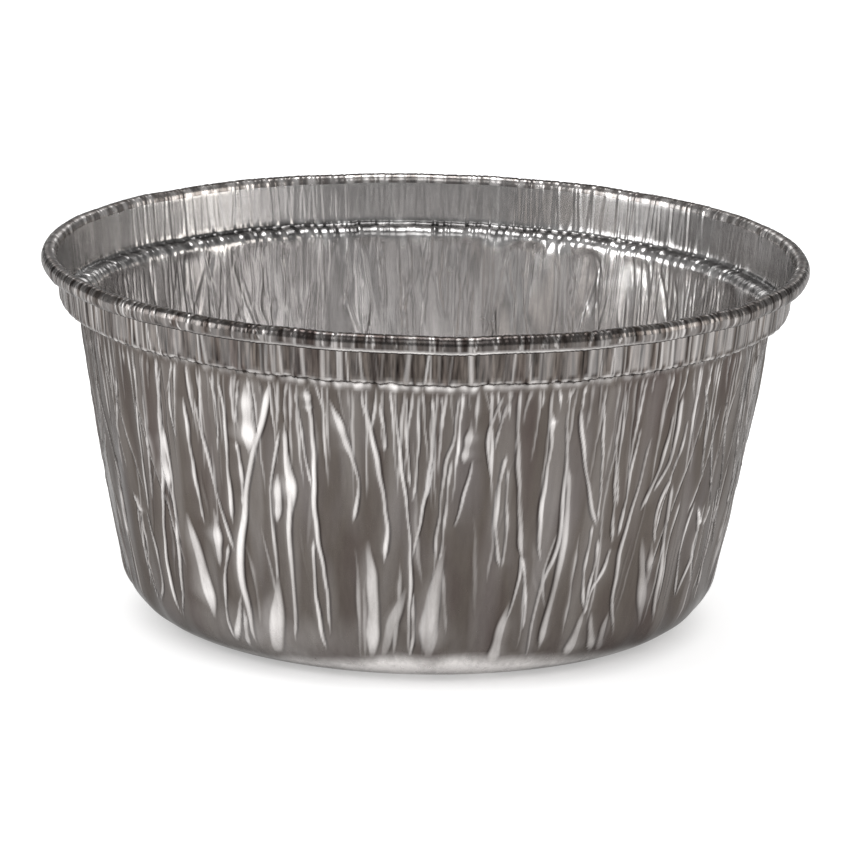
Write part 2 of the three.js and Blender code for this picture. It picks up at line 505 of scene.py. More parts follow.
# %% Crease the left half of the front
LEFT_CREASES = [
    (0.35, 0.45, [(75, 140), (120, 330), (195, 630)], LONG),
    (1.1, 0.9, [(175, 590), (200, 720), (220, 870)], LENS),
    (0.3, 0.7, [(165, 160), (182, 360)], LONG),
    (0.35, 0.7, [(250, 250), (290, 560), (312, 740)], LONG),
    (0.3, 0.6, [(285, 230), (320, 500), (330, 690)], LONG),
    (0.5, 0.9, [(345, 110), (345, 300), (372, 520), (375, 800), (385, 1000), (420, 1150),
                (455, 1210)], LONG),
    (0.45, 0.85, [(360, 360), (410, 600), (440, 850), (458, 1100), (456, 1210)], LONG),
    (1.0, 0.95, [(352, 330), (375, 500), (400, 680)], LENS),
    (0.35, 0.55, [(275, 740), (285, 900), (310, 1040), (355, 1140)], LONG),
    (0.35, 0.5, [(300, 740), (340, 900), (370, 1060), (358, 1140)], LONG),
    (1.35, 0.95, [(478, 740), (520, 930), (560, 1100), (590, 1230)], LENS),
    (0.4, 0.75, [(460, 240), (490, 420), (520, 620), (552, 800)], LONG),
    (0.4, 0.7, [(390, 170), (396, 300), (435, 420)], LONG),
    (0.35, 0.7, [(500, 250), (560, 520), (620, 720), (685, 920)], LONG),
    (0.3, 0.55, [(560, 150), (600, 300), (602, 490)], LONG),
    (0.5, 0.85, [(600, 160), (635, 300), (650, 560), (675, 800)], LONG),
    (1.0, 0.9, [(590, 720), (614, 850), (622, 980)], LENS),
    (0.4, 0.7, [(660, 880), (642, 1050), (642, 1180), (685, 1310)], LONG),
    (0.8, 0.95, [(825, 170), (800, 330), (745, 560), (722, 760), (702, 900), (702, 1010), (740, 1180),
                 (790, 1340)], LONG),
    (0.45, 0.8, [(690, 430), (715, 540), (718, 720)], LONG),
    (1.3, 0.95, [(715, 150), (738, 330), (748, 500)], LENS),
    (0.3, 0.6, [(690, 170), (690, 360)], LONG),
    (0.6, 0.8, [(712, 1090), (698, 1220), (690, 1320)], LENS),
    (0.5, 0.75, [(715, 1150), (730, 1250), (748, 1340)], LENS),
    (0.55, 0.85, [(890, 350), (900, 520), (920, 660), (915, 800), (922, 950), (942, 1150),
                  (940, 1330)], LONG),
    (0.8, 0.95, [(868, 570), (871, 680), (870, 790)], LENS),
    (0.9, 0.95, [(900, 470), (925, 610), (926, 760)], LENS),
    (0.3, 0.6, [(872, 390), (842, 560), (840, 750), (866, 920), (866, 1060)], LONG),
    (1.6, 0.9, [(868, 1000), (862, 1180), (872, 1370)], dict(LENS, ends=(0.7, 0.15))),
    (0.5, 0.8, [(980, 190), (1010, 350), (1026, 560), (1020, 690), (1042, 880), (1078, 1050),
                (1092, 1300)], LONG),
    (0.4, 0.8, [(1022, 860), (1025, 1050), (1045, 1230), (1078, 1350)], LONG),
    (0.6, 0.85, [(975, 180), (990, 240), (1005, 320)], LENS),
    (0.3, 0.6, [(940, 220), (970, 430), (1012, 640)], LONG),
    (0.7, 0.85, [(1085, 250), (1140, 380), (1190, 520)], LENS),
    (0.4, 0.7, [(1150, 400), (1200, 540), (1222, 650), (1190, 790)], LONG),
    (0.5, 0.85, [(1225, 240), (1270, 400), (1300, 550), (1332, 720), (1342, 830), (1325, 970)], LONG),
    (1.35, 0.95, [(1255, 860), (1275, 1050), (1278, 1200), (1275, 1390)], LENS),
    (0.35, 0.75, [(1305, 270), (1325, 380), (1330, 480)], LONG),
    (0.35, 0.75, [(1368, 240), (1400, 560), (1430, 760), (1440, 930), (1440, 1100), (1428, 1280),
                  (1436, 1380)], LONG),
    (0.3, 0.65, [(1420, 240), (1420, 420), (1440, 640)], LONG),
    (0.3, 0.65, [(1475, 230), (1475, 500), (1450, 700)], LONG),
    (0.4, 0.75, [(1540, 240), (1535, 500), (1500, 690), (1470, 850), (1445, 950)], LONG),
    (1.1, 0.55, [(1425, 1060), (1380, 1180), (1340, 1290), (1318, 1400)], LENS),
    (1.5, 0.75, [(1590, 880), (1535, 1100), (1495, 1370)], LENS),
    (0.35, 0.7, [(1452, 1100), (1452, 1280), (1438, 1380)], LONG),
]
crease_front(LEFT_CORNER, LEFT_CREASES, lens_width=1.25, long_width=0.9, side=1)
print(len(LEFT_CREASES), "creases on the left")

# %% Crease the right half of the front
RIGHT_CREASES = [
    (0.35, 0.65, [(55, 240), (65, 420), (60, 560), (18, 700)], LONG),
    (0.3, 0.6, [(95, 240), (100, 330), (85, 450)], LONG),
    (0.35, 0.55, [(170, 230), (150, 440), (108, 530), (88, 740), (66, 900), (70, 970)], LONG),
    (0.35, 0.55, [(135, 510), (115, 700), (100, 860), (84, 970)], LONG),
    (1.6, 0.62, [(98, 900), (62, 1130), (28, 1400)], LENS),
    (0.8, 0.55, [(225, 340), (212, 430), (188, 540)], LENS),
    (0.35, 0.45, [(230, 520), (200, 640), (150, 810)], LONG),
    (0.4, 0.6, [(370, 240), (312, 350), (293, 450), (301, 570)], LONG),
    (0.3, 0.45, [(385, 270), (345, 380), (325, 480)], LONG),
    (0.5, 0.65, [(375, 490), (345, 620), (325, 780), (330, 900), (346, 990)], LONG),
    (0.35, 0.5, [(380, 550), (375, 700), (375, 870), (350, 990)], LONG),
    (0.5, 0.55, [(430, 240), (425, 450), (430, 650), (430, 800), (440, 960)], LONG),
    (0.35, 0.5, [(440, 920), (430, 1050), (390, 1170), (345, 1290)], LONG),
    (1.3, 0.75, [(385, 1130), (340, 1290), (295, 1420)], dict(LENS, ends=(0.7, 0.2))),
    (0.4, 0.65, [(440, 930), (455, 1050), (460, 1150), (444, 1260)], LONG),
    (0.5, 0.65, [(572, 320), (570, 450), (545, 580), (525, 720), (514, 850), (520, 970)], LONG),
    (0.5, 0.95, [(576, 310), (575, 350), (574, 400)], LENS),
    (0.45, 0.5, [(640, 290), (640, 480), (620, 650), (610, 780), (590, 920), (530, 1050), (500, 1170),
                 (478, 1290), (448, 1400)], LONG),
    (0.8, 0.5, [(640, 540), (640, 700), (620, 860), (600, 1000), (560, 1160), (515, 1350)], LONG),
    (0.45, 0.6, [(700, 290), (705, 420), (715, 560), (740, 720), (766, 815)], LONG),
    (0.3, 0.55, [(800, 210), (790, 400), (785, 600), (769, 800)], LONG),
    (0.4, 0.6, [(748, 800), (730, 920), (705, 1040), (712, 1170)], LONG),
    (0.35, 0.5, [(772, 860), (765, 970), (735, 1070), (714, 1170)], LONG),
    (0.4, 0.55, [(822, 900), (790, 1010), (740, 1090), (710, 1200)], LONG),
    (1.0, 0.55, [(715, 1170), (665, 1300), (615, 1390)], LENS),
    (0.9, 0.5, [(745, 1180), (740, 1260), (735, 1360)], LENS),
    (0.9, 0.5, [(820, 1180), (795, 1260), (765, 1360)], LENS),
    (0.35, 0.5, [(850, 390), (845, 620), (825, 880)], LONG),
    (0.3, 0.5, [(900, 210), (880, 380), (852, 560), (850, 720)], LONG),
    (0.35, 0.55, [(962, 380), (910, 560), (880, 720), (848, 850)], LONG),
    (0.45, 0.55, [(1002, 410), (940, 640), (900, 760), (860, 900), (850, 1000), (830, 1130),
                  (838, 1290)], LONG),
    (0.5, 0.5, [(1100, 310), (1060, 480), (1010, 620), (945, 740)], LONG),
    (0.6, 0.6, [(1140, 240), (1110, 420), (1080, 530), (1005, 660)], LONG),
    (0.4, 0.5, [(1160, 350), (1130, 470), (1090, 570)], LONG),
    (0.4, 0.55, [(1085, 590), (1035, 700), (1010, 800), (1015, 880)], LONG),
    (0.6, 0.5, [(1092, 620), (1065, 770), (1050, 900), (1040, 1030), (1020, 1130), (1008, 1230)], LONG),
    (1.3, 0.45, [(958, 850), (965, 1020), (952, 1250)], LENS),
    (0.8, 0.4, [(1005, 860), (995, 960), (980, 1080)], LENS),
    (0.4, 0.5, [(1182, 700), (1140, 830), (1120, 950), (1110, 1120)], LONG),
    (0.4, 0.5, [(1202, 740), (1185, 900), (1150, 1010), (1113, 1120)], LONG),
    (0.5, 0.9, [(1196, 720), (1200, 760), (1205, 800)], LENS),
    (0.3, 0.45, [(1240, 190), (1245, 330), (1220, 480), (1212, 600)], LONG),
    (0.3, 0.45, [(1272, 310), (1255, 530), (1250, 710)], LONG),
    (0.35, 0.5, [(1290, 630), (1260, 830), (1225, 960), (1203, 1080)], LONG),
    (0.3, 0.4, [(1332, 230), (1310, 470), (1290, 700), (1265, 900)], LONG),
    (0.35, 0.45, [(1372, 400), (1345, 580), (1318, 720)], LONG),
]
crease_front(RIGHT_CORNER, RIGHT_CREASES, lens_width=1.1, long_width=0.85, side=-1)
print(len(RIGHT_CREASES), "creases on the right")

# %% [markdown]
# The sides and the back, which the picture doesn't show, were pressed in the same die. So the folds of
# the front are laid twice more, a third of a turn round each time. One copy is mirrored, and each fold
# is shifted and resized by a seeded draw, so that no two sides are alike. A thicket of short, fine
# creases hangs from the shoulder all the way round, and faint ones fill the panels between the folds.

# %% Crease the sides and the back
THIRD = math.tau / 3
for turn, hand in ((THIRD, -1), (2 * THIRD, 1)):
    for path, width, shine, side, kind in seen_paths:
        shift, drop = draw.normal(0, 0.03), draw.normal(0, 0.7)
        there = [(turn + hand * place + shift, place_fall + drop) for place, place_fall in path]
        width *= draw.uniform(0.8, 1.25)
        # The shine of each copy scales its painted highlight.
        shine *= draw.uniform(0.75, 1.1)
        crease(there, width, shine, side=side * hand, **kind)
print(2 * len(seen_paths), "creases on the sides and the back")

# %% Hang the fine creases from the shoulder
FINE_CREASES = 290
FINE_TOP = -0.7
WALL_HEAD_RADIUS = 36


def leaning_path(place, top, end, lean, bow, sway=0.0):
    """A path that leans, bows and sways by so many mm between two falls."""
    falls = np.linspace(top, end, 6)
    run = (falls - top) / (end - top)
    shift = lean * run + bow * np.sin(run * math.pi) + sway * np.sin(run * math.tau)
    return np.stack([place + shift / WALL_HEAD_RADIUS, falls], 1)


for place in spread_round(FINE_CREASES):
    end, lean = draw.uniform(2.0, 15), draw.normal(0, 0.6)
    width, shine, height = draw.uniform(0.24, 0.38), draw.uniform(0.15, 0.7), draw.uniform(0.04, 0.09)
    path = leaning_path(place, FINE_TOP, end, lean, draw.normal(0, 0.15))
    # Each fine crease gets a painted highlight by shine and painted shade by shade.
    shade, side = draw.uniform(0.2, 0.7), draw.choice([-1, 1])
    crease(path, width, shine, height, ends=(0.1, 0.5), shade=shade, side=side)
print(FINE_CREASES, "fine creases")

# %% Lay the faint creases between the others
FAINT_CREASES = 110
FAINT_HEIGHT = 0.06
LOWEST_END = 33
for i in range(FAINT_CREASES):
    place = (i + draw.random()) * math.tau / FAINT_CREASES
    top, lean = draw.uniform(-0.5, 20), draw.normal(0, 1.1)
    end = min(top + draw.uniform(7, 20), LOWEST_END)
    width, shine = draw.uniform(0.2, 0.5), draw.uniform(0.05, 0.4)
    path = leaning_path(place, top, end, lean, draw.normal(0, 0.3), draw.normal(0, 0.15))
    # Each faint crease gets a painted highlight by shine and painted shade by shade.
    shade, side, soft = draw.uniform(0.1, 0.5), draw.choice([-1, 1]), draw.uniform(0.2, 0.6)
    crease(path, width, shine, FAINT_HEIGHT, ends=(0.3, 0.3), shade=shade, side=side, soft=soft)
print(FAINT_CREASES, "faint creases")

# %% [markdown]
# ## Broad dents, collar pleats and rim crimps
# The panels between the folds are never flat: they dip and swell over several millimetres. Sums of
# slow waves with whole numbers of turns do this and close on themselves at the back. The wall as a whole
# swells a little at mid height. The collar has finer, nearly upright pleats, which run on into the bead
# as small crimps.

# %% Dent the panels
DENT_DEPTH = 0.09
WALL_SWELL = 0.35


def waves(count, turns_low, turns_high, drift):
    """A sum of waves. Each has a whole number of turns and drifts sideways down the foil."""
    total = np.zeros(len(points))
    for _ in range(count):
        turns = draw.integers(turns_low, turns_high + 1)
        total += np.cos(turns * around + draw.uniform(-drift, drift) * fall + draw.uniform(0, math.tau))
    return total / math.sqrt(count / 2)


wall_share = ease((fall + 0.6) / 1.5) * ease((wall_length + heel_length * 0.75 - fall) / 6)
relief *= wall_share
relief += DENT_DEPTH * waves(14, 16, 40, 0.25) * wall_share
relief += WALL_SWELL * np.sin(math.pi * np.clip(fall / wall_length, 0, 1))
painted_highlight *= wall_share
painted_shade *= wall_share
print("relief in mm:", round(relief.min(), 3), "to", round(relief.max(), 3))

# %% Pleat the collar
COLLAR_PLEATS = 420
COLLAR_RADIUS = 40
PLEAT_END = 0.3
FRONT_HALF_ANGLE = 0.5
FRONT_CALM = 0.7
on_upper_foil = fall < PLEAT_END
for place in spread_round(COLLAR_PLEATS):
    slant, size = draw.normal(0, 0.3), draw.uniform(0.07, 0.14) * draw.choice([1, 1, 1.8])
    depth, shine, shade = draw.uniform(0.01, 0.045), draw.uniform(0.0, 0.85) ** 2, draw.uniform(0.2, 1.0)
    if abs(turn_between(place, 0)) < FRONT_HALF_ANGLE:
        shine *= FRONT_CALM
    across = turn_between(around, place) * COLLAR_RADIUS
    near = np.flatnonzero((np.abs(across) < 2) & on_upper_foil)
    off = across[near] - slant * fall[near] / 5
    share = ease((PLEAT_END - fall[near]) / 1.2)
    pleat = np.exp(-np.abs(off / size) ** 3) * share
    beside = bell(off - size * 1.9, size) * share
    relief[near] += depth * (pleat - 0.6 * beside)
    # Painted highlight on each pleat, weaker in front, and painted shade beside it.
    painted_highlight[near] = np.maximum(painted_highlight[near], shine * pleat)
    painted_shade[near] = np.maximum(painted_shade[near], shade * beside)
print(COLLAR_PLEATS, "collar pleats")

# %% Pinch the shoulder
SHOULDER_PINCHES = 250
SHOULDER_RADIUS = 38.5
foot_fall = fall_of_row[end_row("shoulder")]
by_shoulder = (fall > foot_fall - 3) & (fall < 3.5)
for place in spread_round(SHOULDER_PINCHES):
    size, depth = draw.uniform(0.2, 0.5), draw.uniform(0.04, 0.2)
    across = turn_between(around, place) * SHOULDER_RADIUS
    near = np.flatnonzero((np.abs(across) < 2) & by_shoulder)
    relief[near] -= depth * bell(across[near], size) * bell(fall[near] - foot_fall / 2, 1.6)
print(SHOULDER_PINCHES, "pinches on the shoulder")

# %% [markdown]
# The bead is measured by curl, which runs from zero where it leaves the collar to one at the tip. Small
# crimps cross it, and each has a painted glint beside it.

# %% Crimp the rim
CRIMPS = 420
CRIMP_HEIGHT = 0.035
RIM_RADIUS = 41
rim_fall = fall_of_row[end_row("collar")]
rim_share = ease((rim_fall - fall) / 0.5)
curl = np.clip((rim_fall - fall) / (rim_fall - fall.min()), 0, 1)
crimp = np.zeros(len(points))
gleam = np.zeros(len(points))
for place in spread_round(CRIMPS, jitter=0.95):
    slant, size, strength = draw.normal(0, 0.3), draw.uniform(0.07, 0.2), draw.uniform(0.2, 1)
    shine = draw.uniform(0, 1) ** 2
    low, length = draw.uniform(0.4, 0.75), draw.uniform(0.08, 0.3)
    across = turn_between(around, place) * RIM_RADIUS
    near = np.flatnonzero((np.abs(across) < 1.5) & (rim_share > 0))
    off = across[near] + slant * (fall[near] - rim_fall)
    crimp[near] = np.maximum(crimp[near], strength * bell(off, size))
    # A painted glint beside the crimp.
    tick = bell(off - size * 1.7, size * 0.8) * bell(curl[near] - low, length)
    gleam[near] = np.maximum(gleam[near], shine * tick)
relief += rim_share * CRIMP_HEIGHT * crimp
print(CRIMPS, "crimps on the rim")

# %% Paint shade and highlights on the rim from its inner side over the top to its lower edge
RIM_INSIDE_END = 0.25
RIM_TOP = 0.29
RIM_BODY_START = 0.33
RIM_LOWER_EDGE = 0.79
rim_inside = (row >= end_row("collar")) * ease((RIM_INSIDE_END - curl) / 0.05)
rim_top = rim_share * bell(curl - RIM_TOP, 0.055)
rim_body = rim_share * ease((curl - RIM_BODY_START) / 0.06)
rim_edge = rim_share * bell(curl - RIM_LOWER_EDGE, 0.045)
ends_bright = 1 - 0.75 * bell(turn_between(around, 0.05), 0.55)
flecks = np.clip(0.5 + 0.5 * waves(16, 30, 160, 0.0), 0, 1)
# Painted shade along the top of the bead and over its body, deepest in front and in the crimps. Painted
# highlights: glints and flecks at the sides, a line on the lower edge in front, and the bead's inner side.
painted_shade *= 1 - rim_inside
paint_shade(rim_top)
paint_shade(rim_body * np.maximum(0.7 - 0.3 * ends_bright, 0.9 * crimp))
paint_highlight(rim_body * gleam * (0.55 + 0.45 * ends_bright))
paint_highlight(rim_body * 0.2 * ends_bright * flecks)
paint_highlight(rim_edge * (1 - ends_bright) * 1.25)
paint_highlight(rim_inside * (0.22 + 0.6 * flecks ** 2))
painted_highlight *= 1 - rim_top
print("rim shaded over", round(rim_fall - fall.min(), 2), "mm of curl")

# %% Paint shade and light on the collar and highlights along the lines at its foot
COLLAR_FRONT_SHADE = 0.3
COLLAR_RIGHT_SHINE = 0.34
COLLAR_LEFT_SHINE = 0.18
FOOT_LINE = 0.55
HEAD_LINE = -0.65
on_collar = (fall < foot_fall) * (1 - rim_share)
in_front = bell(around, 0.5)
side_shine = np.where(around > 0, COLLAR_RIGHT_SHINE, COLLAR_LEFT_SHINE)
# Painted shade on the front of the collar, painted light on its sides, stronger on the right.
paint_shade(on_collar * in_front * COLLAR_FRONT_SHADE)
paint_highlight(on_collar * (1 - in_front) * side_shine * flecks)
frayed = np.clip(0.55 + 0.4 * waves(14, 40, 300, 0.0), 0, 1)
foot_line = bell(fall - foot_fall - FOOT_LINE - 0.06 * waves(8, 40, 140, 0.0), 0.38)
# Painted highlights along the rounded edges at the collar's foot and at the head of the wall.
paint_highlight(0.8 * frayed * foot_line)
head_line = bell(fall - HEAD_LINE - 0.1 * waves(8, 30, 120, 0.0), 0.5)
head_frayed = np.clip(0.65 + 0.35 * waves(14, 30, 220, 0.0), 0, 1)
head_front = 0.2 + 0.8 * bell(turn_between(around, 0.03), 0.42)
paint_highlight(head_frayed * head_line * head_front)
print("bright lines above and below the shoulder")

# %% [markdown]
# The heel mirrors the table in front of it, and a pale band with a bright line along it is painted on
# too, a painted reflection of the table. The band is widest in front and narrows to the sides.

# %% Paint the heel's reflection, faint random brightness on the panels and painted shade at the left and front
HEEL_LINE = 0.52
BAND_START = 0.42
BAND_WIDENING = 0.26
BRIGHTEST_HEEL = 0.95
LEFT_VEIL = -0.52
LEFT_EDGE = -1.4
heel_run = (fall - wall_length) / heel_length
heel_front = bell(turn_between(around, 0.1), 0.55)
front = 0.25 + 0.72 * heel_front
heel_line = HEEL_LINE + 0.1 * (1 - heel_front) + 0.006 * waves(8, 6, 30, 0.0)
heel_band = 0.9 * ease((heel_run - BAND_START + BAND_WIDENING * heel_front) / 0.25) * front
heel_band += 0.6 * bell(heel_run - heel_line, 0.06) * front
# Painted reflection on the heel.
paint_highlight(np.clip(heel_band, 0, BRIGHTEST_HEEL))
# A faint painted sheen over the heel, strongest at the front left.
heel_veil = ease((heel_run + 0.35) / 0.5) * ease((0.9 - heel_run) / 0.3)
paint_highlight(heel_veil * (0.02 + 0.15 * bell(turn_between(around, LEFT_VEIL), 0.36)))
panels = np.clip(waves(10, 18, 60, 0.15), 0, 1.5) * wall_share
# The panels brighten a little at random.
paint_highlight(0.05 * panels)
left_edge = bell(around - LEFT_EDGE, 0.28) * wall_share
# Painted shade at the left edge of the wall and over the front of the wall.
painted_highlight *= 1 - 0.4 * left_edge
paint_shade(np.maximum(0.25 * left_edge, 0.12 * in_front * wall_share))
print("heel polished over", round(heel_length, 1), "mm")

# %% [markdown]
# ## The inside of the foil
# Seen from inside, the same creases look softer, and soft painted streaks run down the wall and collar.
# The rounded edge under the shoulder gets a row of painted highlights as bright drops, and the ledge above
# it gets painted shade as a dark corner. The collar is painted bright on the left, where it faces the
# large lamp, and so is the wall behind on the right. All this is noted apart, as painted light and
# painted shade, because it belongs to the inner face alone.

# %% Drops and streaks inside
INNER_RADIUS = 37
DROPS = 170
STREAKS = 190
DROPS_WINDOW = math.radians(148)
painted_glow = np.zeros(len(points))
painted_gloom = np.zeros(len(points))


def inner_drop(place, middle, width, length, shine, lean=0.0):
    """A soft painted highlight on the inner face. Sizes are in mm."""
    across = turn_between(around, place) * INNER_RADIUS - lean * (fall - middle)
    near = np.flatnonzero((np.abs(across) < width * 2.5) & (np.abs(fall - middle) < length * 2.2))
    drop = bell(across[near], width) * bell(fall[near] - middle, length)
    painted_glow[near] = np.maximum(painted_glow[near], shine * drop)


# Painted highlights as drops along the edge under the shoulder and at the foot of the collar.
for place in spread_round(DROPS):
    near_window = bell(turn_between(place, DROPS_WINDOW), 0.38)
    middle, width = draw.uniform(-0.4, 0.8), draw.uniform(0.2, 0.5) + 0.3 * near_window
    length, shine = draw.uniform(0.6, 1.6), draw.uniform(0, 1) ** (1.7 - 1.2 * near_window)
    inner_drop(place, middle, width, length, shine)
    inner_drop(place + 0.01, foot_fall + draw.uniform(-0.3, 0.4), draw.uniform(0.2, 0.5),
               draw.uniform(0.25, 0.5), draw.uniform(0, 1) ** 2)
# Painted bright streaks down the inner wall and the inner collar.
for place in spread_round(STREAKS):
    inner_drop(place, draw.uniform(2, 26), draw.uniform(0.3, 0.8), draw.uniform(3, 8),
               draw.uniform(0, 0.6), draw.normal(0, 0.09))
    inner_drop(place, foot_fall - 2.2, draw.uniform(0.15, 0.5), draw.uniform(1.5, 3),
               draw.uniform(0, 0.6) ** 1.5, draw.normal(0, 0.05))
print(DROPS, "drops and", STREAKS, "streaks inside")

# %% Paint shade on the ledge and light on the sides that face the lamps
LEDGE_END = -0.5
LIP = -0.9
COLLAR_GLOW = 0.16
WINDOW_SIDE = math.radians(140)
WINDOW_WALL = math.radians(138)
LAMP_SIDE = math.radians(-122)


def paint_glow(share):
    """Paints light on the inside, at least this bright."""
    np.maximum(painted_glow, share, out=painted_glow)


def paint_gloom(share):
    """Paints shade on the inside, at least this dark."""
    np.maximum(painted_gloom, share, out=painted_gloom)


# Painted shade over the ledge and a broken line under it, lighter on the sides that face the lamps, and
# painted shade on the inner collar at the back right.
ledge_end = LEDGE_END + 0.5 * waves(12, 20, 120, 0.0)
ledge = ease((fall - foot_fall + 0.2) / 0.4) * ease((ledge_end - fall) / 1.8)
window_side = bell(turn_between(around, WINDOW_SIDE), 0.5)
lamp_side = bell(turn_between(around, LAMP_SIDE), 0.65)
broken = np.clip(0.6 + 0.6 * waves(16, 50, 240, 0.0), 0, 1)
lip = bell(fall - LIP, 0.8)
paint_gloom(np.maximum(ledge, lip * broken) * (1.0 - 0.6 * window_side - 0.25 * lamp_side))
above_foot = ease((foot_fall - fall) / 0.6)
collar_inside = above_foot * (1 - rim_share)
paint_gloom(collar_inside * window_side * 0.45)
# Painted light on the inner collar, strongest on the left, and a painted bright patch on the wall behind
# on the right.
paint_glow(collar_inside * COLLAR_GLOW)
window_wall = bell(turn_between(around, WINDOW_WALL), 0.3) * ease((fall + 1) / 2) * ease((12 - fall) / 10)
patches = np.clip(0.5 + 0.35 * waves(12, 20, 90, 0.1), 0, 1)
paint_glow(above_foot * lamp_side * (0.7 + 0.3 * patches ** 2))
paint_glow(window_wall * (0.34 + 0.66 * patches ** 2))
print("glow mean", round(float(painted_glow.mean()), 3), "gloom mean", round(float(painted_gloom.mean()), 3))

# %% [markdown]
# ## Pressing the sheet
# Now the relief moves the points. The top edge is also pulled down a little, unevenly, and the points
# are held inside the frame's height and mouth. The flat base stays as it was turned.

# %% Move the points
EDGE_WAVE = 0.03 * MM
EDGE_DEPTH = 4
moved = points + foil_out * (relief * MM)[:, None]
edge_wave = waves(8, 7, 40, 0.0)
moved[:, 2] -= EDGE_WAVE * (edge_wave + 1.6) * ease((EDGE_DEPTH - fall) / EDGE_DEPTH)
moved[:, 2] = np.clip(moved[:, 2], points[:, 2].min(), cup_height - half_foil)
reach = np.hypot(moved[:, 0], moved[:, 1])
allowed = np.minimum(reach, mouth_radius - half_foil * 1.2)
moved[:, :2] *= (allowed / np.maximum(reach, MM))[:, None]
flat_base = row <= BASE_STEPS
moved[flat_base] = points[flat_base]
sheet.vertices.foreach_set("co", moved.ravel())
sheet.update()
print("widest point", round(allowed.max() / MM, 3), "mm from the axis")

# %% [markdown]
# ## Zones of one sheet
# The frame keeps the cup as six forming zones, so the sheet is cut along the same lines. The wall has
# the most points and is cut into three, which makes eight pieces. Cutting first and thickening after
# would leave a faint line of shading at each cut, so the normals of the whole sheet are stored on its
# points and given back to the pieces once they have their thickness.

# %% Store normals and notes on the points
normals = np.empty(len(points) * 3)
sheet.vertices.foreach_get("normal", normals)
kept_normal = sheet.attributes.new("foil_normal", "FLOAT_VECTOR", "POINT")
kept_normal.data.foreach_set("vector", normals)
for name, values in (("painted_highlight", painted_highlight), ("painted_shade", painted_shade), ("painted_glow", painted_glow), ("painted_gloom", painted_gloom)):
    note = sheet.attributes.new(name, "FLOAT", "POINT")
    note.data.foreach_set("value", np.clip(values, 0, 1))
print("polish mean", round(float(painted_highlight.mean()), 3))

# %% Number the zone of each face
corner_points = np.empty(len(sheet.loops), int)
sheet.loops.foreach_get("vertex_index", corner_points)
first_corner = np.empty(len(sheet.polygons), int)
sheet.polygons.foreach_get("loop_start", first_corner)
strip = np.minimum.reduceat(row[corner_points], first_corner)
zone_number = {zone: i for i, (zone, _) in enumerate(zone_paths)}
zone_of_face = np.array([zone_number[z] for z in zone_of_strip])[strip]
kept_zone = sheet.attributes.new("zone", "INT", "FACE")
kept_zone.data.foreach_set("value", zone_of_face)
print("faces in each zone:", np.bincount(zone_of_face).tolist())


# %% Cut the sheet into its zones
def cut_zone(source, zone):
    """Separates the faces of one zone from the sheet."""
    mesh = source.data
    numbers = np.empty(len(mesh.polygons), int)
    mesh.attributes["zone"].data.foreach_get("value", numbers)
    bpy.ops.object.select_all(action="DESELECT")
    source.select_set(True)
    bpy.context.view_layer.objects.active = source
    bpy.ops.object.mode_set(mode="EDIT")
    bpy.ops.mesh.select_mode(type="FACE")
    bpy.ops.mesh.select_all(action="DESELECT")
    bpy.ops.object.mode_set(mode="OBJECT")
    mesh.polygons.foreach_set("select", numbers == zone_number[zone])
    bpy.ops.object.mode_set(mode="EDIT")
    bpy.ops.mesh.separate(type="SELECTED")
    bpy.ops.object.mode_set(mode="OBJECT")
    piece = [o for o in bpy.context.selected_objects if o is not source][0]
    piece.name = "foil_" + zone
    piece.data.name = piece.name
    return piece


pieces = {zone: cut_zone(blank, zone) for zone, _ in zone_paths}
bpy.data.objects.remove(blank)
print({zone: len(piece.data.polygons) for zone, piece in pieces.items()})

# %% [markdown]
# ## Foil finishes
# Rolled foil has a dull side and a bright side. The outside takes a dark, warm grey that shows the
# table, darker than the foil's own colour: painted shade for the dark surroundings it would mirror.
# Where the notes say so, it takes painted highlights near white and painted shade. The inside of the
# cup is painted paler, a lit copy of the same foil. Both have a fine drawn grain and small crinkles,
# made with noise on the object's own coordinates so that they stay put on the cup.


# %% Helpers for the finishes
MIX_SHARE, MIX_UNDER, MIX_OVER, MIX_RESULT = 0, 6, 7, 2


def node(tree, kind, **values):
    """Adds a node. Each value is one of its settings or, failing that, one of its entries."""
    made = tree.nodes.new(kind)
    for key, value in values.items():
        if hasattr(made, key):
            setattr(made, key, value)
        else:
            made.inputs[key.replace("_", " ").title()].default_value = value
    return made


def feed(tree, value, entry):
    """Links a socket to an entry, or sets a plain number or colour on it."""
    if isinstance(value, bpy.types.NodeSocket):
        tree.links.new(value, entry)
    else:
        entry.default_value = value


def reckon(tree, operation, *values, clamp=False):
    """One step of arithmetic on sockets and numbers."""
    sum_node = node(tree, "ShaderNodeMath", operation=operation, use_clamp=clamp)
    for value, entry in zip(values, sum_node.inputs):
        feed(tree, value, entry)
    return sum_node.outputs["Value"]


def blend(tree, share, under, over):
    """Lays one colour over another by a share."""
    mix = node(tree, "ShaderNodeMix", data_type="RGBA")
    for value, entry in ((share, MIX_SHARE), (under, MIX_UNDER), (over, MIX_OVER)):
        feed(tree, value, mix.inputs[entry])
    return mix.outputs[MIX_RESULT]


def span(tree, value, low, high, start=0.0, end=1.0, kind="LINEAR"):
    """Turns the values from start to end into values from low to high."""
    ramp = node(tree, "ShaderNodeMapRange", interpolation_type=kind, from_min=start, from_max=end,
                to_min=low, to_max=high)
    tree.links.new(value, ramp.inputs["Value"])
    return ramp.outputs["Result"]


def noise(tree, place, height_scale, scale, detail, roughness):
    """Noise on the cup. A height scale under one draws it out upwards."""
    mapping = node(tree, "ShaderNodeMapping", scale=(1.0, 1.0, height_scale))
    tree.links.new(place, mapping.inputs["Vector"])
    cloud = node(tree, "ShaderNodeTexNoise", scale=scale, detail=detail, roughness=roughness)
    tree.links.new(mapping.outputs["Vector"], cloud.inputs["Vector"])
    return cloud.outputs["Fac"]


print("helpers for the finishes are ready")


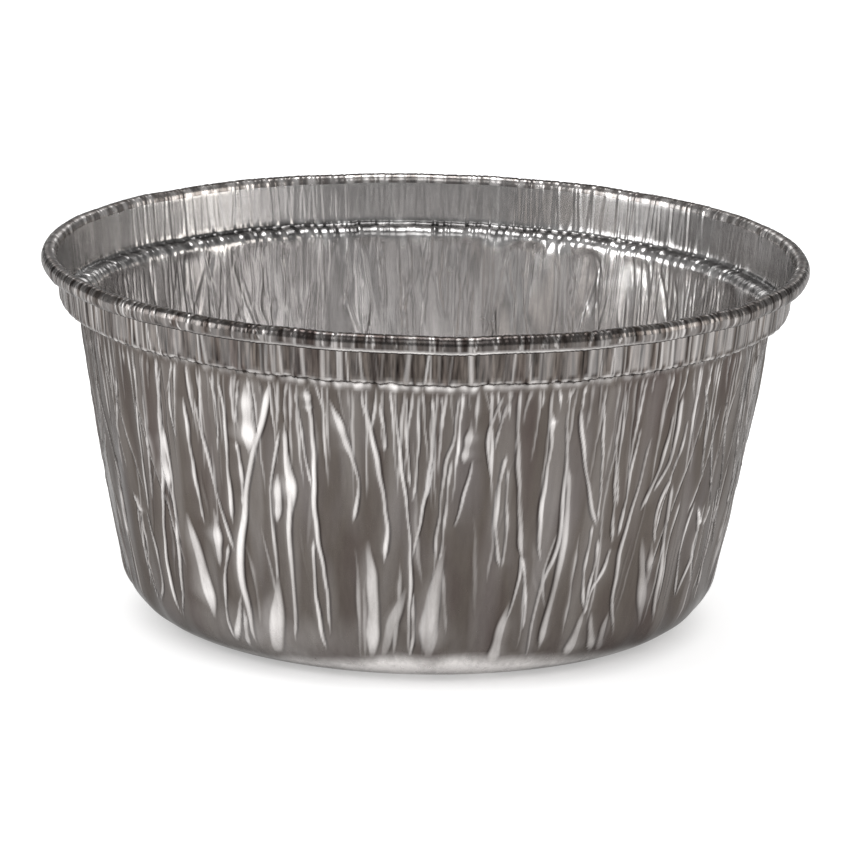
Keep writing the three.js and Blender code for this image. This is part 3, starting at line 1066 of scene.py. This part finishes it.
# %% Parts of a foil finish
HAIRS_START = 33.5 * MM
HAIRS_FULL = 35.5 * MM


def cloudy_tint(tree, cloud, base_tone, tint_swing, olive_share):
    """The base tone in three close tints: darker, a trace of olive, and paler half-neutral steel."""
    tint = node(tree, "ShaderNodeValToRGB")
    stops = tint.color_ramp.elements
    stops[0].position = 0.3
    stops[0].color = (*[c * (1 - tint_swing) for c in base_tone], 1)
    stops[1].position = 0.72
    steel = sum(base_tone) / 3
    stops[1].color = (*[(0.5 * c + 0.5 * steel) * (1 + tint_swing) for c in base_tone], 1)
    olive = stops.new(0.52)
    olive.color = (base_tone[0] * (1 - olive_share), base_tone[1] * (1 + olive_share), base_tone[2], 1)
    tree.links.new(cloud, tint.inputs["Fac"])
    return tint.outputs["Color"]


def hair_lines(tree, place, colour, low, high):
    """Fine upright lines, stronger on the collar than on the wall."""
    hairs = noise(tree, place, 0.04, 2300.0, 2.0, 0.5)
    heights = node(tree, "ShaderNodeSeparateXYZ")
    tree.links.new(place, heights.inputs["Vector"])
    strength = span(tree, heights.outputs["Z"], low, high, HAIRS_START, HAIRS_FULL)
    swing = reckon(tree, "SUBTRACT", hairs, 0.5)
    lined = node(tree, "ShaderNodeVectorMath", operation="SCALE")
    tree.links.new(colour, lined.inputs[0])
    tree.links.new(reckon(tree, "MULTIPLY_ADD", swing, strength, 1.0), lined.inputs["Scale"])
    return lined.outputs["Vector"]


def bumps(tree, grain, crinkle):
    """The grain and the crinkles as fine bumps, too small to model."""
    fine = node(tree, "ShaderNodeBump", strength=0.15, distance=0.03 * MM)
    tree.links.new(grain, fine.inputs["Height"])
    dents = node(tree, "ShaderNodeBump", strength=0.1, distance=0.12 * MM)
    tree.links.new(crinkle, dents.inputs["Height"])
    tree.links.new(fine.outputs["Normal"], dents.inputs["Normal"])
    return dents.outputs["Normal"]


print("hair lines grow from", round(HAIRS_START / MM, 1), "to", round(HAIRS_FULL / MM, 1), "mm high")


# %% Foil material
def foil_finish(name, bright_note, dark_note, base_tone, highlighted, tint_swing, olive_share, hairs, rough,
                painted_shade_share, edge_shine):
    finish = bpy.data.materials.new(name)
    finish.use_nodes = True
    tree = finish.node_tree
    shader = tree.nodes["Principled BSDF"]
    shader.inputs["Metallic"].default_value = 1.0
    shader.inputs["Specular Tint"].default_value = (edge_shine, edge_shine, edge_shine, 1)
    place = node(tree, "ShaderNodeTexCoord").outputs["Object"]
    grain = noise(tree, place, 0.12, 1500.0, 3.0, 0.6)
    cloud = noise(tree, place, 0.12, 190.0, 3.0, 0.55)
    crinkle = noise(tree, place, 1.0, 520.0, 2.0, 0.5)

    highlight_note = node(tree, "ShaderNodeAttribute", attribute_name=bright_note).outputs["Fac"]
    shade_note = node(tree, "ShaderNodeAttribute", attribute_name=dark_note).outputs["Fac"]
    uneven = reckon(tree, "MULTIPLY_ADD", cloud, 1.3, 0.35)
    patchy_highlight = reckon(tree, "MULTIPLY", highlight_note, uneven, clamp=True)
    streak = reckon(tree, "MULTIPLY_ADD", grain, 0.8, 0.62)
    share = reckon(tree, "MULTIPLY", patchy_highlight, streak, clamp=True)

    colour = cloudy_tint(tree, cloud, base_tone, tint_swing, olive_share)
    colour = hair_lines(tree, place, colour, *hairs)
    # Painted shade, then the painted highlight, laid over the foil's tone.
    colour = blend(tree, shade_note, colour, (*[c * painted_shade_share for c in base_tone], 1))
    colour = blend(tree, share, colour, (*highlighted, 1))
    tree.links.new(colour, shader.inputs["Base Color"])
    tree.links.new(span(tree, crinkle, *rough), shader.inputs["Roughness"])
    tree.links.new(bumps(tree, grain, crinkle), shader.inputs["Normal"])
    return finish


# The outside's base tone is darker than the foil's own colour, as painted shade, and the inside's is
# paler, as painted light.
outer_foil = foil_finish(
    "foil_outside", bright_note="painted_highlight", dark_note="painted_shade", base_tone=(0.11, 0.086, 0.079),
    highlighted=(0.87, 0.84, 0.825), tint_swing=0.28, olive_share=0.045, hairs=(0.3, 4.0), rough=(0.2, 0.32),
    painted_shade_share=0.22, edge_shine=0.58)
inner_foil = foil_finish(
    "foil_inside", bright_note="painted_glow", dark_note="painted_gloom", base_tone=(0.54, 0.523, 0.517),
    highlighted=(0.97, 0.96, 0.95), tint_swing=0.1, olive_share=0.0, hairs=(0.4, 0.5), rough=(0.18, 0.3),
    painted_shade_share=0.12, edge_shine=0.75)
print("finishes:", outer_foil.name, inner_foil.name)

# %% [markdown]
# ## Thickness
# Solidify gives each zone the true foil gauge, half to each side, and closes the cut edges. The inner
# faces take the second finish, except on the rim, which is rolled with its outside showing. Then the
# stored normals go back on, so that the light runs smoothly over the cuts.


# %% Thicken the zones
CUT_FACE = 0.35


def thicken(piece, inner_finish):
    """Gives a piece the gauge of the foil, with its own finish on the inner face."""
    bpy.ops.object.select_all(action="DESELECT")
    piece.select_set(True)
    bpy.context.view_layer.objects.active = piece
    piece.data.materials.append(outer_foil)
    piece.data.materials.append(inner_finish)
    gauge = piece.modifiers.new("foil_gauge", "SOLIDIFY")
    gauge.thickness = FOIL
    gauge.offset = 0.0
    gauge.material_offset = 1
    bpy.ops.object.modifier_apply(modifier=gauge.name)
    bpy.ops.object.shade_smooth()


def give_back_normals(piece):
    """Stored normals on both sides of the foil, and each face's own normal on the cut edges."""
    mesh = piece.data
    stored = np.empty(len(mesh.vertices) * 3)
    mesh.attributes["foil_normal"].data.foreach_get("vector", stored)
    face_normal = np.empty(len(mesh.polygons) * 3)
    mesh.polygons.foreach_get("normal", face_normal)
    corners = np.empty(len(mesh.loops), int)
    mesh.loops.foreach_get("vertex_index", corners)
    count = np.empty(len(mesh.polygons), int)
    mesh.polygons.foreach_get("loop_total", count)
    per_corner = np.repeat(face_normal.reshape(-1, 3), count, axis=0)
    wanted = stored.reshape(-1, 3)[corners]
    facing = (per_corner * wanted).sum(1)
    wanted = np.where(facing[:, None] < 0, -wanted, wanted)
    wanted = np.where(np.abs(facing)[:, None] < CUT_FACE, per_corner, wanted)
    mesh.normals_split_custom_set(wanted.tolist())


for zone, piece in pieces.items():
    thicken(piece, outer_foil if zone == "rim" else inner_foil)
    give_back_normals(piece)
    for name in ("foil_normal", "zone"):
        piece.data.attributes.remove(piece.data.attributes[name])
print({zone: sum(len(p.vertices) - 2 for p in piece.data.polygons) for zone, piece in pieces.items()})

# %% [markdown]
# ## Onto the frame
# Every piece rides on the cup's one rigid body and stands for its zone in the frame.

# %% Ride and replace
NODE_OF_ZONE = {
    "base": "base_panel",
    "heel": "heel_bend",
    "wall_low": "side_wall",
    "wall_mid": "side_wall",
    "wall_high": "side_wall",
    "shoulder": "stacking_shoulder",
    "collar": "lid_collar",
    "rim": "rim_curl",
}
for zone, piece in pieces.items():
    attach(piece, "root")
    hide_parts(NODE_OF_ZONE[zone])
print(len(pieces), "pieces ride on the cup")

# %% [markdown]
# ## Table and light
# A wide pale table fills the picture. To the camera and to the foil it is lifted to white. Close to the
# cup, and a little in front of it, it is lifted less, which keeps the real soft shadow and adds a painted
# shadow round the base. Foil shows what is round it, so the lamps are large soft panels: a bright one at
# the left, a weaker, warmer one at the right, one behind for the inside of the cup, one overhead and one
# above the camera.

# %% Table
FLOOR_DROP = 0.02 * MM
FLOOR_GREY = 0.6
SHADOW_FORWARD = 1.6 * MM
SHADOW_FULL = 26 * MM
SHADOW_END = 33.5 * MM
LIFT_IN_SHADOW = 0.35
LIFT_OUTSIDE = 0.75

bpy.ops.object.select_all(action="DESELECT")
bpy.ops.mesh.primitive_plane_add(size=6.0, location=(0, 0, -FLOOR_DROP))
floor = bpy.context.object
floor.name = "pale_table"
table = bpy.data.materials.new("pale_table")
table.use_nodes = True
tree = table.node_tree
shader = tree.nodes["Principled BSDF"]
shader.inputs["Base Color"].default_value = (FLOOR_GREY, FLOOR_GREY, FLOOR_GREY, 1)
shader.inputs["Roughness"].default_value = 0.9
shader.inputs["Specular IOR Level"].default_value = 0.0
shader.inputs["Emission Color"].default_value = (1, 1, 1, 1)
ray = node(tree, "ShaderNodeLightPath").outputs
seen = reckon(tree, "MAXIMUM", ray["Is Camera Ray"], ray["Is Glossy Ray"])
seen = reckon(tree, "MAXIMUM", seen, ray["Is Transmission Ray"])
# Less lift near the cup, centred a little in front of it: a painted shadow round the base.
shadow_place = node(tree, "ShaderNodeMapping")
shadow_place.inputs["Location"].default_value = (0, SHADOW_FORWARD, 0)
from_middle = node(tree, "ShaderNodeVectorMath", operation="LENGTH")
tree.links.new(node(tree, "ShaderNodeTexCoord").outputs["Object"], shadow_place.inputs["Vector"])
tree.links.new(shadow_place.outputs["Vector"], from_middle.inputs["Vector"])
lift = span(tree, from_middle.outputs["Value"], LIFT_IN_SHADOW, LIFT_OUTSIDE, SHADOW_FULL, SHADOW_END,
            kind="SMOOTHSTEP")
tree.links.new(reckon(tree, "MULTIPLY", seen, lift), shader.inputs["Emission Strength"])
floor.data.materials.append(table)
print("table", tuple(round(v, 2) for v in floor.dimensions))


# %% Lamps
def soft_panel(name, place, width, height, radiance, colour=(1, 1, 1)):
    """A rectangular lamp that looks at the middle of the cup."""
    lamp = bpy.data.lights.new(name, "AREA")
    lamp.shape = "RECTANGLE"
    lamp.size = width
    lamp.size_y = height
    lamp.energy = radiance * math.pi * width * height
    lamp.color = colour
    panel = bpy.data.objects.new(name, lamp)
    bpy.context.scene.collection.objects.link(panel)
    panel.location = place
    panel.rotation_mode = "QUATERNION"
    panel.rotation_quaternion = (Vector(CUP_MIDDLE) - Vector(place)).to_track_quat("-Z", "Y")


soft_panel("left_panel", (-0.7, -0.2, 0.28), width=0.45, height=0.5, radiance=3.5)
soft_panel("right_panel", (0.75, -0.15, 0.26), width=0.4, height=0.45, radiance=2.1, colour=(1, 0.95, 0.9))
soft_panel("back_panel", (0.0, 0.85, 0.45), width=0.9, height=0.5, radiance=1.6)
soft_panel("top_panel", (0.0, 0.05, 1.0), width=0.5, height=0.5, radiance=5.0)
soft_panel("front_panel", (0.0, -0.9, 0.8), width=0.8, height=0.5, radiance=1.2)

ROOM_GREY = 0.32
room = bpy.data.worlds.new("studio_room")
room.use_nodes = True
room.node_tree.nodes["Background"].inputs["Color"].default_value = (ROOM_GREY, ROOM_GREY, ROOM_GREY, 1)
bpy.context.scene.world = room
